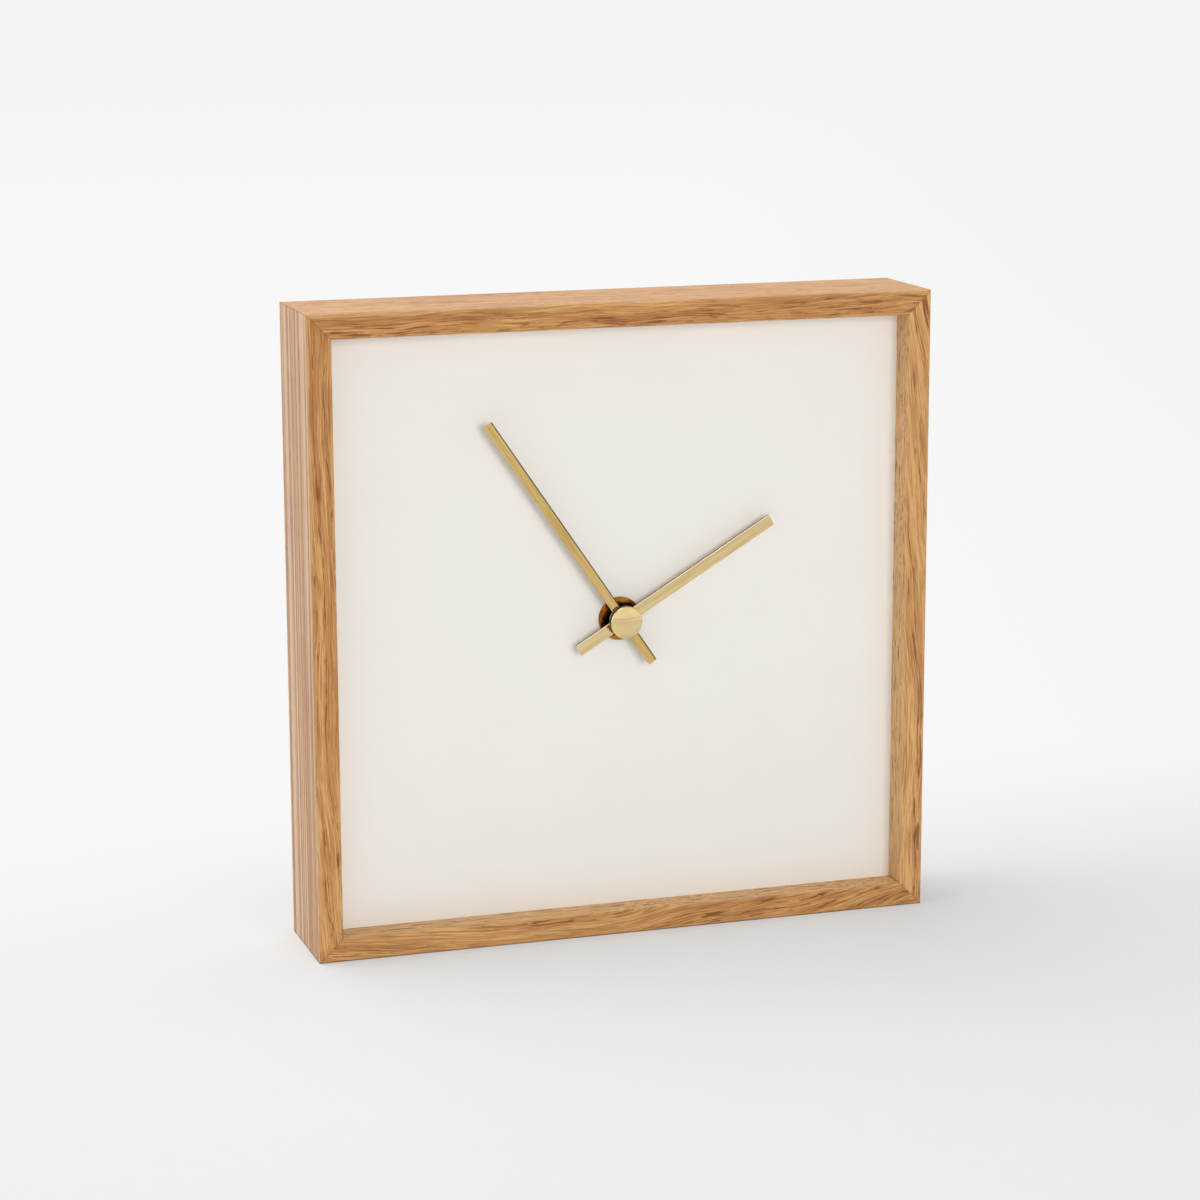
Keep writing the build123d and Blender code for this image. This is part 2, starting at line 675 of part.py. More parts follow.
# Bobbin on the core, and the winding between its flanges
with BuildPart() as coil_bobbin:
    with BuildSketch(across(bobbin_left, core_depth, coil_height)):
        Rectangle(barrel_depth, barrel_height)
    extrude(amount=bobbin_length)
    for left in (bobbin_left, bobbin_left + bobbin_length - BOBBIN_FLANGE_THICKNESS):
        with BuildSketch(across(left, core_depth, coil_height)):
            Rectangle(flange_depth, flange_height)
        extrude(amount=BOBBIN_FLANGE_THICKNESS)
    with BuildSketch(across(bobbin_left, core_depth, coil_height)):
        Rectangle(CORE_THICKNESS + 2 * PLAY, CORE_WIDTH + 2 * PLAY)
    extrude(amount=bobbin_length, mode=Mode.SUBTRACT)

with BuildPart() as coil_winding:
    with BuildSketch(across(bobbin_left + BOBBIN_FLANGE_THICKNESS, core_depth, coil_height)):
        winding = Rectangle(barrel_depth + 2 * WINDING_BUILD, barrel_height + 2 * WINDING_BUILD)
        chamfer(winding.vertices(), WINDING_CORNER)
        Rectangle(barrel_depth, barrel_height, mode=Mode.SUBTRACT)
    extrude(amount=bobbin_length - 2 * BOBBIN_FLANGE_THICKNESS)

# Circuit board on its posts, with the crystal can and the moulded chip behind it
with BuildPart() as circuit_board:
    slab(board_left, board_right, board_bottom, board_top, board_front, board_back)
    for post in board_posts:
        square(PEG_SIDE, board_front, board_back, post, Mode.SUBTRACT)

with BuildPart() as quartz_crystal:
    with BuildSketch(flat(board_middle, board_back + CRYSTAL_RADIUS, crystal_bottom)):
        Circle(CRYSTAL_RADIUS)
    extrude(amount=CRYSTAL_LENGTH)

with BuildPart() as chip_cover:
    square(CHIP_SIDE, board_back, board_back + CHIP_HEIGHT, (board_middle, 0))

# Battery lying across the bottom of the movement
with BuildPart() as battery:
    with BuildSketch(across(battery_left, battery_depth, battery_height)):
        Circle(BATTERY_DIAMETER / 2)
    extrude(amount=BATTERY_LENGTH - BATTERY_NUB_LENGTH)
    with BuildSketch(across(battery_right, battery_depth, battery_height)):
        Circle(BATTERY_NUB_RADIUS)
    extrude(amount=-BATTERY_NUB_LENGTH)

# Negative contact: a bowed leaf on a plate that runs up the wall to the board
with BuildPart() as negative_contact:
    with BuildSketch(flat(-chamber_half, battery_depth, contact_bottom)):
        with BuildLine():
            ThreePointArc(
                (CONTACT_THICKNESS / 2, -CONTACT_WIDTH / 2),
                (leaf_reach - PLAY - CONTACT_THICKNESS / 2, 0),
                (CONTACT_THICKNESS / 2, CONTACT_WIDTH / 2),
            )
        trace(line_width=CONTACT_THICKNESS)
    extrude(amount=CONTACT_WIDTH)
    slab(
        -chamber_half,
        CONTACT_THICKNESS - chamber_half,
        contact_bottom,
        board_bottom + BOARD_POST_INSET,
        contact_front,
        contact_back,
    )

# Positive contact: an end plate, and a strip along the partition to the board
with BuildPart() as positive_contact:
    slab(
        chamber_half - CONTACT_THICKNESS,
        chamber_half,
        contact_bottom,
        chamber_bottom + CONTACT_THICKNESS,
        contact_front,
        strip_back,
    )
    slab(
        board_middle,
        chamber_half,
        chamber_bottom,
        chamber_bottom + CONTACT_THICKNESS,
        strip_front,
        strip_back,
    )
    slab(
        board_middle,
        board_middle + STRIP_WIDTH,
        chamber_bottom,
        chamber_bottom + CONTACT_THICKNESS,
        board_front,
        strip_back,
    )

# Front plate of the movement, with the posts for the bridge, the stator and the board
with BuildPart() as movement_front_case:
    with BuildSketch(facing(chamber_front)):
        with Locations((0, housing_middle)):
            RectangleRounded(housing_width, housing_height, HOUSING_RADIUS)
    extrude(amount=HOUSING_WALL)
    for post in bridge_posts:
        pegged_post(post, bridge_front, bridge_back)
    for leg in leg_axes:
        pegged_post(leg, centre_level, core_back)
    for post in board_posts:
        pegged_post(post, board_front, board_back)
    for axis_place in (third_axis, fifth_axis, rotor_axis, setting_axis):
        disc(ARBOR_RADIUS + PLAY, pivot_front, chamber_front, axis_place, Mode.SUBTRACT)
    disc(BUSH_RADIUS, housing_front, chamber_front, mode=Mode.SUBTRACT)
    with BuildSketch(facing(chamber_front)):
        RegularPolygon(BUSH_FLANGE_RADIUS, 6)
    extrude(amount=BUSH_FLANGE_THICKNESS, mode=Mode.SUBTRACT)

# Rear shell of the movement, with the closed train chamber and the open battery bay below it
with BuildPart() as movement_rear_case:
    with BuildSketch(facing(housing_back)):
        with Locations((0, housing_middle)):
            RectangleRounded(housing_width, housing_height, HOUSING_RADIUS)
    extrude(amount=housing_back - chamber_front)
    slab(
        -chamber_half,
        chamber_half,
        chamber_bottom,
        chamber_top,
        chamber_front,
        chamber_back,
        Mode.SUBTRACT,
    )
    slab(-chamber_half, chamber_half, bay_bottom, bay_top, chamber_front, housing_back, Mode.SUBTRACT)
    disc(SETTING_ARBOR_RADIUS + PLAY, chamber_back, housing_back, setting_axis, Mode.SUBTRACT)
    slab(
        -chamber_half,
        CONTACT_THICKNESS + PLAY - chamber_half,
        bay_top,
        chamber_bottom,
        contact_front - PLAY,
        contact_back + PLAY,
        Mode.SUBTRACT,
    )
    slab(
        chamber_half - CONTACT_THICKNESS - PLAY,
        chamber_half,
        bay_top,
        chamber_bottom,
        contact_front - PLAY,
        strip_back + PLAY,
        Mode.SUBTRACT,
    )

# One STEP file for each piece
pieces = {
    "bottom_rail": bottom_rail,
    "top_rail": top_rail,
    "left_stile": left_stile,
    "right_stile": right_stile,
    "dial_board": dial_board,
    "corner_blocks": corner_blocks,
    "back_panel": back_panel,
    "rubber_gasket": rubber_gasket,
    "threaded_bush": threaded_bush,
    "dial_washer": dial_washer,
    "dial_nut": dial_nut,
    "hour_hand": hour_hand,
    "minute_hand": minute_hand,
    "hand_cap": hand_cap,
    "hour_wheel": hour_wheel,
    "minute_pipe": minute_pipe,
    "centre_wheel": centre_wheel,
    "third_wheel": third_wheel,
    "fourth_wheel": fourth_wheel,
    "fifth_wheel": fifth_wheel,
    "rotor": rotor,
    "rotor_magnet": rotor_magnet,
    "motion_wheel": motion_wheel,
    "setting_knob": setting_knob,
    "train_bridge": train_bridge,
    "stator": stator,
    "coil_core": coil_core,
    "coil_bobbin": coil_bobbin,
    "coil_winding": coil_winding,
    "circuit_board": circuit_board,
    "quartz_crystal": quartz_crystal,
    "chip_cover": chip_cover,
    "battery": battery,
    "negative_contact": negative_contact,
    "positive_contact": positive_contact,
    "movement_front_case": movement_front_case,
    "movement_rear_case": movement_rear_case,
}
os.makedirs("parts", exist_ok=True)
for name, piece in pieces.items():
    piece.part.label = name
    export_step(piece.part, f"parts/{name}.step")
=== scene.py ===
"""Square oak desk clock: mitred oak rails, a recessed cream dial, brass bar hands and a quartz movement."""

import math

import bmesh
import bpy
from mathutils import Matrix, Vector


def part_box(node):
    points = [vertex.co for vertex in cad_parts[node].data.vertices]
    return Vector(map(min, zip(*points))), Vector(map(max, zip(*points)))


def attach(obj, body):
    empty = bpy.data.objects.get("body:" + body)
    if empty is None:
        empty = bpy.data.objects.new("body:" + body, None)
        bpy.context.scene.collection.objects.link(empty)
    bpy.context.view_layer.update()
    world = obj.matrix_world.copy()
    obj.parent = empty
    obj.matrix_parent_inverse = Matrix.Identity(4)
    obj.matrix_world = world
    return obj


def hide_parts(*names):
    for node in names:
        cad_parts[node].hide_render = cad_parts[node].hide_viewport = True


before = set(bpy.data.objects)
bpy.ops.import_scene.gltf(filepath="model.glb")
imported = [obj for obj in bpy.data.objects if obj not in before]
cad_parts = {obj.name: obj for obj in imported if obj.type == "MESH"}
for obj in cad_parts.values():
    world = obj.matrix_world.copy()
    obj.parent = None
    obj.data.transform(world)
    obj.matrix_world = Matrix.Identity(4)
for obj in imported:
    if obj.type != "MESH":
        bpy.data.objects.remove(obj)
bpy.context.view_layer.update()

# Oak rails: four lengths of oiled oak, planed to an L with a lip in front of the dial and a rebate
# behind it, cut at 45 degrees and glued. The long edges are eased with fine paper, the mitres show
# as thin dark glue lines, and each rail is cut from its own part of the board.
mm = 0.001
rail_low, rail_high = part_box("bottom_rail")
half_side = rail_high.x
rail_front, rail_back, rail_face = rail_low.y, rail_high.y, rail_high.z
rail_wall = 4.6 * mm
dial_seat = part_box("dial_board")[0].y
rail_ease, wear_reach = 0.45 * mm, 0.6 * mm
ease_steps, length_steps = 4, 10
mitre_nick, glue_reach = 0.05 * mm, 0.42 * mm
# Heights above the floor where the painted contact shadow along the foot begins and where it is full
painted_shadow_top, painted_shadow_full = 0.55 * mm, 0.15 * mm
crease_angle = math.radians(30)
rail_marks = ("worn_edge", "glue_line", "outer_face", "fair_and_painted_light_face")

# The width of a year's ring in the board and the sway of its fibres and rings, in millimetres
year_ring, fibre_sway, ring_sway, flame_sway = 2.6, 4.5, 1.1, 0.55


def tone(red, green, blue):
    """A colour as it is read on a screen, in the units of light, by the usual screen curve."""
    shares = [part / 255 for part in (red, green, blue)]
    light = [part / 12.92 if part <= 0.04045 else ((part + 0.055) / 1.055) ** 2.4 for part in shares]
    return light + [1.0]


class Nodes:
    """Adds shader nodes to a tree and links them."""

    def __init__(self, tree):
        self.tree = tree

    def feed(self, socket, value):
        """Links a node's output to a socket, or sets a plain value on it."""
        if isinstance(value, bpy.types.NodeSocket):
            self.tree.links.new(value, socket)
        else:
            socket.default_value = value

    def add(self, kind, feeds=(), out=0, **settings):
        """A new node with its settings, fed by socket, and one of its outputs."""
        made = self.tree.nodes.new("ShaderNode" + kind)
        for setting, value in settings.items():
            setattr(made, setting, value)
        for socket, value in dict(feeds).items():
            self.feed(made.inputs[socket], value)
        return made.outputs[out]

    def reckon(self, operation, *values):
        """One step of arithmetic."""
        return self.add("Math", enumerate(values), operation=operation)

    def span(self, operation, *vectors):
        """A length, a distance or a dot product of vectors."""
        return self.add("VectorMath", enumerate(vectors), out="Value", operation=operation)

    def scaled(self, vector, factors):
        return self.add("VectorMath", {0: vector, 1: factors}, operation="MULTIPLY")

    def axes(self, vector):
        return self.add("SeparateXYZ", {0: vector}).node.outputs

    def cloud(self, place, stretch, detail=2.0, rough=0.5):
        """Noise whose size along each axis is set by stretch, in patches per unit of length."""
        at = self.scaled(place, stretch)
        return self.add("TexNoise", {"Vector": at, "Scale": 1.0, "Detail": detail, "Roughness": rough})

    def sway(self, noise, reach):
        """Noise that swings by reach either way."""
        return self.reckon("MULTIPLY_ADD", noise, 2 * reach, -reach)

    def between(self, value, low, high, to_low=0.0, to_high=1.0):
        """A smooth step from to_low, where the value is low, to to_high, where it is high."""
        feeds = enumerate((value, low, high, to_low, to_high))
        return self.add("MapRange", feeds, interpolation_type="SMOOTHSTEP")

    def spread(self, noise, to_low=0.0, to_high=1.0):
        """Noise laid over a range: nearly all of it lies between 0.3 and 0.7."""
        return self.between(noise, 0.3, 0.7, to_low, to_high)

    def blend(self, share, low, high):
        """Two colours mixed by a share. A Mix node takes colours on its places 6 and 7."""
        return self.add("Mix", {0: share, 6: low, 7: high}, out=2, data_type="RGBA")

    def tint(self, below, mask, share, colour):
        """A colour laid over another by a share of a mask."""
        return self.blend(self.reckon("MULTIPLY", mask, share), below, colour)

    def ramp(self, value, stops):
        """Colours along a value, from pairs of place and colour in order."""
        colours = self.add("ValToRGB", {0: value})
        band = colours.node.color_ramp.elements
        band[0].position, band[0].color = stops[0]
        band[1].position, band[1].color = stops[-1]
        for place, colour in stops[1:-1]:
            band.new(place).color = colour
        return colours


class Finish(Nodes):
    """One surface finish: a Principled surface and the nodes that feed it."""

    def __init__(self, name, **plain):
        self.material = bpy.data.materials.new(name)
        self.material.use_nodes = True
        super().__init__(self.material.node_tree)
        self.surface = self.tree.nodes["Principled BSDF"]
        self.give(**plain)

    def give(self, **sockets):
        """Feeds the surface itself: base_color=..., roughness=..., normal=..."""
        for name, value in sockets.items():
            title = name.replace("_", " ").title().replace("Ior", "IOR")
            self.feed(self.surface.inputs[title], value)

    def dents(self, height, depth, strength):
        self.give(normal=self.add("Bump", {"Height": height, "Distance": depth, "Strength": strength}))


def oiled_oak():
    """Rings about a distant pith under dark pores, fair faces, worn edges and glue lines, with painted light
    on the lips and outer faces and a painted shadow along the foot.
    """
    oak = Finish("oiled_oak", specular_ior_level=0.4)
    grain = oak.add("Attribute", out="Vector", attribute_name="grain")
    worn, glue, outer, fair_and_painted_light = (oak.add("Attribute", out="Fac", attribute_name=mark) for mark in rail_marks)

    # The fibres wander along the board, and the rings about its pith ripple and flame.
    wander = oak.sway(oak.cloud(grain, (0.017, 0.05, 0.03)), fibre_sway)
    laid = oak.add("VectorMath", {0: grain, 1: oak.add("CombineXYZ", {1: wander})}, operation="ADD")
    from_pith = oak.span("LENGTH", oak.scaled(laid, (0, 1, 1)))
    ripple = oak.sway(oak.cloud(laid, (0.06, 0.45, 0.10)), ring_sway)
    flame = oak.sway(oak.cloud(laid, (0.20, 1.3, 0.12)), flame_sway)
    reach = oak.reckon("ADD", from_pith, oak.reckon("ADD", ripple, flame))
    ring = oak.reckon("FRACT", oak.reckon("DIVIDE", reach, year_ring))
    early = oak.between(ring, 0.55, 0.05)
    wood = oak.ramp(ring, [
        (0.00, tone(191, 134, 75)), (0.18, tone(195, 139, 80)), (0.42, tone(209, 156, 94)),
        (0.80, tone(215, 164, 102)), (1.00, tone(195, 139, 80))])

    # Browner wood drifts through it, silky fibres run lighter and darker, and the fair faces are paler:
    # the fronts in the board's own tone, the lips as painted light.
    drift = oak.cloud(laid, (0.016, 0.24, 0.06), detail=3.0)
    wood = oak.blend(oak.between(drift, 0.50, 0.62, 0.0, 0.62), wood, tone(170, 104, 54))
    silk = oak.cloud(laid, (0.07, 2.3, 2.3), detail=3.0, rough=0.66)
    wood = oak.blend(oak.between(silk, 0.50, 0.64, 0.0, 0.55), wood, tone(226, 180, 120))
    wood = oak.blend(oak.between(silk, 0.48, 0.34, 0.0, 0.45), wood, tone(166, 106, 54))
    wood = oak.tint(wood, fair_and_painted_light, 0.75, tone(240, 195, 136))

    # Pores are short dark strokes, strongest in the early wood, with finer threads among them.
    strokes = oak.between(oak.cloud(laid, (0.105, 1.75, 1.75), rough=0.6), 0.54, 0.59)
    threads = oak.between(oak.cloud(laid, (0.060, 2.8, 2.8)), 0.54, 0.59)
    pores = oak.reckon("MULTIPLY", strokes, oak.reckon("MULTIPLY_ADD", early, 0.65, 0.35))
    pores = oak.reckon("MAXIMUM", pores, oak.reckon("MULTIPLY", threads, 0.50))
    wood = oak.tint(wood, pores, 0.86, tone(122, 70, 32))

    # The outer faces show straight grain lines, light and dark, and their pale pinkish tone partly paints
    # the sheen these faces show at a glancing view, as painted sheen.
    lines = oak.cloud(grain, (0.0022, 0.05, 0.44), detail=3.0, rough=0.6)
    lines_and_painted_sheen = oak.blend(oak.between(lines, 0.44, 0.54), tone(176, 128, 86), tone(230, 202, 176))
    wood = oak.tint(wood, outer, 0.66, lines_and_painted_sheen)

    # The eased edges are worn pale, glue darkens the mitres, and a dark line along the foot is a painted
    # contact shadow.
    wood = oak.tint(wood, worn, 0.22, tone(222, 178, 122))
    wood = oak.tint(wood, glue, 0.35, tone(112, 66, 30))
    above_foot = oak.axes(oak.add("TexCoord", out="Object"))[2]
    painted_foot_shadow = oak.between(above_foot, painted_shadow_top, painted_shadow_full, 0.0, 0.85)
    wood = oak.blend(painted_foot_shadow, wood, tone(74, 48, 28))
    oak.give(base_color=wood, roughness=oak.reckon("MULTIPLY_ADD", pores, 0.2, 0.5))
    sunk = oak.reckon("MULTIPLY_ADD", silk, 0.35, oak.reckon("MULTIPLY", pores, -1.0))
    oak.dents(sunk, 0.12 * mm, 0.5)
    return oak


def rail_outline():
    """The planed section: inset from the outer face, depth, and how far the edge is worn there."""
    corners = [(0, rail_front, rail_ease), (rail_face, rail_front, rail_ease), (rail_face, dial_seat, 0),
               (rail_wall, dial_seat, 0), (rail_wall, rail_back, rail_ease), (0, rail_back, rail_ease)]
    outline = []
    for here, (inset, depth, ease) in enumerate(corners):
        corner = Vector((inset, depth))
        came = (corner - Vector(corners[here - 1][:2])).normalized()
        goes = (Vector(corners[(here + 1) % len(corners)][:2]) - corner).normalized()
        if not ease:
            outline.append((corner.x, corner.y, 0.0))
            continue
        centre = corner + (goes - came) * ease
        start = corner - came * (ease + wear_reach)
        outline.append((start.x, start.y, 0.0))
        for step in range(ease_steps + 1):
            turn = math.pi / 2 * step / ease_steps
            point = centre + (came * math.sin(turn) - goes * math.cos(turn)) * ease
            outline.append((point.x, point.y, 1.0))
        end = corner + goes * (ease + wear_reach)
        outline.append((end.x, end.y, 0.0))
    return outline


def shrunk(outline, by):
    """The same section, drawn in by a hair: the nicked edge of a sawn end."""
    drawn = []
    for here, (inset, depth, worn) in enumerate(outline):
        before, after = outline[here - 1], outline[(here + 1) % len(outline)]
        run = Vector((after[0] - before[0], after[1] - before[1])).normalized()
        drawn.append((inset - run.y * by, depth + run.x * by, worn))
    return drawn


def wall(shape, near, far):
    """A closed band of faces from one ring of corners to the next."""
    for here in range(len(near)):
        shape.faces.new((near[here - 1], near[here], far[here], far[here - 1]))


def new_piece(name, shape, finish, body, stands_for=()):
    """A finished mesh: linked, shaded, painted, and riding on its body."""
    mesh = bpy.data.meshes.new(name)
    shape.normal_update()
    shape.to_mesh(mesh)
    shape.free()
    mesh.shade_smooth()
    mesh.set_sharp_from_angle(angle=crease_angle)
    piece = bpy.data.objects.new(name, mesh)
    bpy.context.scene.collection.objects.link(piece)
    mesh.materials.append(finish.material)
    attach(piece, body)
    if stands_for:
        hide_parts(*stands_for)
    return piece


def mitred_rail(node, place, pith, slope, bow, outer_lines_and_sheen, lip_painted_light, front_pale):
    """One rail: place() sets a point by run, inset and depth; pith, slope and bow lay its grain. The
    outer face shows straight pale lines that partly paint a glancing sheen, the lip may be painted
    lighter as painted light, and the front may be fairer in the board's own tone."""
    shape = bmesh.new()
    grain = shape.verts.layers.float_vector.new("grain")
    worn_edge, glue_line, outer_face, fair_and_painted_light_face = (shape.verts.layers.float.new(mark) for mark in rail_marks)
    full, nicked = rail_outline(), shrunk(rail_outline(), mitre_nick)
    cut_end = [(0.0, nicked, 1.0), (mitre_nick, full, 1.0), (glue_reach, full, 0.0)]
    length = [(step / length_steps, glue_reach, full, 0.0) for step in range(1 - length_steps, length_steps)]
    stations = [(-1, *cut) for cut in cut_end] + length + [(1, *cut) for cut in reversed(cut_end)]
    on_face = rail_ease / 4
    rings = []
    for way, back_off, outline, glued in stations:
        ring = []
        for (inset, depth, worn), (true_inset, _, _) in zip(outline, full):
            run = way * (half_side - true_inset - back_off)
            vert = shape.verts.new(place(run, inset, depth))
            vert[grain] = Vector((run, inset + slope * run + bow * run ** 2, depth)) / mm + Vector(pith)
            vert[worn_edge] = worn
            vert[glue_line] = glued
            vert[outer_face] = outer_lines_and_sheen if true_inset < on_face else 0.0
            vert[fair_and_painted_light_face] = lip_painted_light if true_inset > rail_face - on_face else front_pale
            ring.append(vert)
        rings.append(ring)
    for near, far in zip(rings, rings[1:]):
        wall(shape, near, far)
    shape.faces.new(reversed(rings[0]))
    shape.faces.new(rings[-1])
    bmesh.ops.recalc_face_normals(shape, faces=shape.faces)
    new_piece("oak_" + node, shape, oak_finish, "case", [node])


oak_finish = oiled_oak()
# The lip shares paint the lips and reveals lighter as painted light, the front shares are the boards' own
# tone, and the outer shares carry the painted sheen.
mitred_rail("bottom_rail", lambda run, inset, depth: (run, depth, inset), pith=(310, 6, 52),
            slope=-0.06, bow=-1.0, outer_lines_and_sheen=0.2, lip_painted_light=1.0, front_pale=0.06)
mitred_rail("top_rail", lambda run, inset, depth: (run, depth, 2 * half_side - inset), pith=(-40, -9, 47),
            slope=0.02, bow=0.0, outer_lines_and_sheen=0.2, lip_painted_light=0.25, front_pale=0.0)
mitred_rail("left_stile", lambda run, inset, depth: (inset - half_side, depth, half_side + run),
            pith=(720, 22, 44), slope=0.03, bow=0.0, outer_lines_and_sheen=1.0, lip_painted_light=0.25, front_pale=0.0)
mitred_rail("right_stile", lambda run, inset, depth: (half_side - inset, depth, half_side + run),
            pith=(-560, -17, 50), slope=-0.07, bow=-0.5, outer_lines_and_sheen=1.0, lip_painted_light=1.0, front_pale=0.20)

# Dial board: a thin flat fibre board let into the rebate, against the back of the lip. Its front and
# edges are sprayed a warm matt cream with no marks on it, which leaves a fine orange peel.
# The back is left bare.
bare_depth, sprayed_depth = 0.3, 0.6


def own_place(finish):
    """Where a point lies on its own piece, in millimetres."""
    return finish.scaled(finish.add("TexCoord", out="Object"), (1 / mm,) * 3)


def paint_node(node, finish):
    """Gives a piece that keeps its own solid its finish."""
    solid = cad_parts[node]
    solid.data.materials.clear()
    solid.data.materials.append(finish.material)


dial_paint = Finish("cream_dial_paint", specular_ior_level=0.3)
spot = own_place(dial_paint)
peel = dial_paint.cloud(spot, (1.1, 1.1, 1.1))
film = dial_paint.cloud(spot, (0.03, 0.03, 0.03), detail=3.0)
coat = dial_paint.blend(film, tone(238, 235, 228), tone(241, 238, 232))
bare = dial_paint.blend(peel, tone(186, 150, 108), tone(204, 170, 128))
dial_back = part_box("dial_board")[1].y / mm
sprayed = dial_paint.between(dial_paint.axes(spot)[1], dial_back - bare_depth, dial_back - sprayed_depth)
dial_paint.give(base_color=dial_paint.blend(sprayed, bare, coat),
                roughness=dial_paint.spread(peel, 0.62, 0.72))
dial_paint.dents(peel, 0.02 * mm, 0.3)
paint_node("dial_board", dial_paint)

# Corner blocks: four triangular blocks of planed softwood, glued into the corners behind the dial.
# They stiffen the mitres, hold the dial board against the lip and take the screws of the back.
softwood = Finish("planed_softwood", specular_ior_level=0.35)
spot = own_place(softwood)
swirl = softwood.cloud(spot, (0.30, 0.03, 0.30))
bands = softwood.reckon("SINE", softwood.reckon("MULTIPLY", swirl, 26.0))
strands = softwood.cloud(spot, (5.0, 0.12, 5.0), detail=3.0)
timber = softwood.blend(softwood.between(bands, -0.2, 1.0), tone(226, 197, 150), tone(196, 152, 98))
timber = softwood.blend(softwood.between(strands, 0.4, 0.7, 0.0, 0.35), timber, tone(238, 214, 172))
softwood.give(base_color=timber, roughness=softwood.spread(strands, 0.55, 0.7))
softwood.dents(strands, 0.08 * mm, 0.4)
paint_node("corner_blocks", softwood)

# Movement housing: two shells moulded in black plastic, a front plate with posts for what is inside
# and a rear box with an open bay for the cell. The skin has a fine eroded grain, and the edges are soft.
weld_gap, flat_angle, hard_angle = 0.002 * mm, math.radians(0.5), math.radians(35)


def eased(node, ease, finish, body, steps=2):
    """A piece's own solid with its hard edges rounded, standing in for it."""
    shape = bmesh.new()
    shape.from_mesh(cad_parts[node].data)
    bmesh.ops.remove_doubles(shape, verts=shape.verts, dist=weld_gap)
    bmesh.ops.dissolve_limit(shape, angle_limit=flat_angle, verts=shape.verts, edges=shape.edges)
    hard = [edge for edge in shape.edges if edge.is_manifold and edge.calc_face_angle(0.0) > hard_angle]
    bmesh.ops.bevel(shape, geom=hard, offset=ease, offset_type="OFFSET", segments=steps, profile=0.5,
                    affect="EDGES", clamp_overlap=True)
    bmesh.ops.triangulate(shape, faces=[face for face in shape.faces if len(face.verts) > 4])
    piece = new_piece("eased_" + node, shape, finish, body, [node])
    flats = piece.modifiers.new("flat_faces", "WEIGHTED_NORMAL")
    flats.keep_sharp = True


def moulded(name, dark, light, sheen, grit):
    """A moulded plastic: a fine eroded grain in the skin and a slow change of tone."""
    plastic = Finish(name, specular_ior_level=0.5)
    spot = own_place(plastic)
    skin = plastic.cloud(spot, (grit, grit, grit), detail=3.0, rough=0.6)
    flow = plastic.cloud(spot, (0.09, 0.09, 0.09))
    plastic.give(base_color=plastic.blend(plastic.spread(flow), dark, light),
                 roughness=plastic.spread(skin, sheen, sheen + 0.14))
    plastic.dents(skin, 0.03 * mm, 0.5)
    return plastic


black_plastic = moulded("black_moulded_plastic", tone(26, 26, 28), tone(34, 34, 36), sheen=0.42, grit=4.0)
eased("movement_rear_case", 0.25 * mm, black_plastic, "case")
eased("movement_front_case", 0.2 * mm, black_plastic, "case")

# Setting knob: a small ribbed knob moulded in the same black plastic, pressed on the motion wheel's
# arbor where it comes out at the back. It is turned by hand to set the time.
eased("setting_knob", 0.15 * mm, black_plastic, "setting")

# Gasket: a square of black rubber with a dull bloom, die cut with a hole for the bush. It lies between
# the movement and the dial board and takes up the slack as the nut is drawn tight.
rubber = moulded("die_cut_rubber", tone(30, 30, 30), tone(44, 43, 42), sheen=0.75, grit=2.5)
eased("rubber_gasket", 0.15 * mm, rubber, "case")

# Bush and its nut: a threaded brass tube that stands out of the movement through the dial, and the
# hexagon nut on it that holds the two together. Both are machined from bar, and their brass is painted
# near black as painted shade and painted dark reflection in the gap under the cap.


def burnish(metal, haze, shine, dull_painted_dark_side, side, sheen):
    """Lays the shine and the dull side, painted dark as a painted dark reflection, on a metal, and the haze
    of handling over both.
    """
    hazy = metal.between(haze, 0.3, 0.75, sheen, sheen + 0.05)
    metal.give(base_color=metal.blend(dull_painted_dark_side, shine, side),
               roughness=metal.reckon("MULTIPLY_ADD", dull_painted_dark_side, 0.22, hazy))
    metal.dents(haze, 0.01 * mm, 0.2)


def fitting_brass(name, bright, deep, side, sheen):
    """Brass of a small fitting: brightest where it faces front or back, and dull on its sides, which are
    painted dark as a painted dark reflection.
    """
    metal = Finish(name, metallic=1.0)
    haze = metal.cloud(own_place(metal), (0.25, 0.25, 0.25), detail=3.0)
    facing = metal.reckon("ABSOLUTE", metal.axes(metal.add("TexCoord", out="Normal"))[1])
    shine = metal.blend(metal.between(haze, 0.38, 0.64), bright, deep)
    burnish(metal, haze, shine, metal.between(facing, 0.60, 0.25), side, sheen)
    return metal


painted_shade_brass = fitting_brass("painted_shade_turned_brass", tone(24, 17, 9), tone(14, 10, 5), tone(10, 7, 4),
                           sheen=0.30)
eased("threaded_bush", 0.08 * mm, painted_shade_brass, "case")
eased("dial_nut", 0.25 * mm, painted_shade_brass, "case")

# Dial washer: a round disc of amber brass on the dial, under the nut. It is pressed from sheet and
# polished, and its rim is rolled over. Its amber is set deep, partly as painted shade from the cap and
# hands, and its rolled rim is painted dark as a painted dark reflection.
low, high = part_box("dial_washer")
hand_axis = ((low.x + high.x) / 2, (low.z + high.z) / 2)
rim, rolled = (high.x - low.x) / 2, 0.3 * mm
bore, bore_edge = 4.05 * mm, 0.1 * mm


def round_points(x, z, radius, count):
    """Points on a circle about a place, in order."""
    turns = [2 * math.pi * step / count for step in range(count)]
    return [(x + radius * math.cos(turn), z + radius * math.sin(turn)) for turn in turns]


def ring_of(shape, points, depth):
    """Corners of a mesh at one depth, from points seen from the front."""
    return [shape.verts.new((x, depth, z)) for x, z in points]


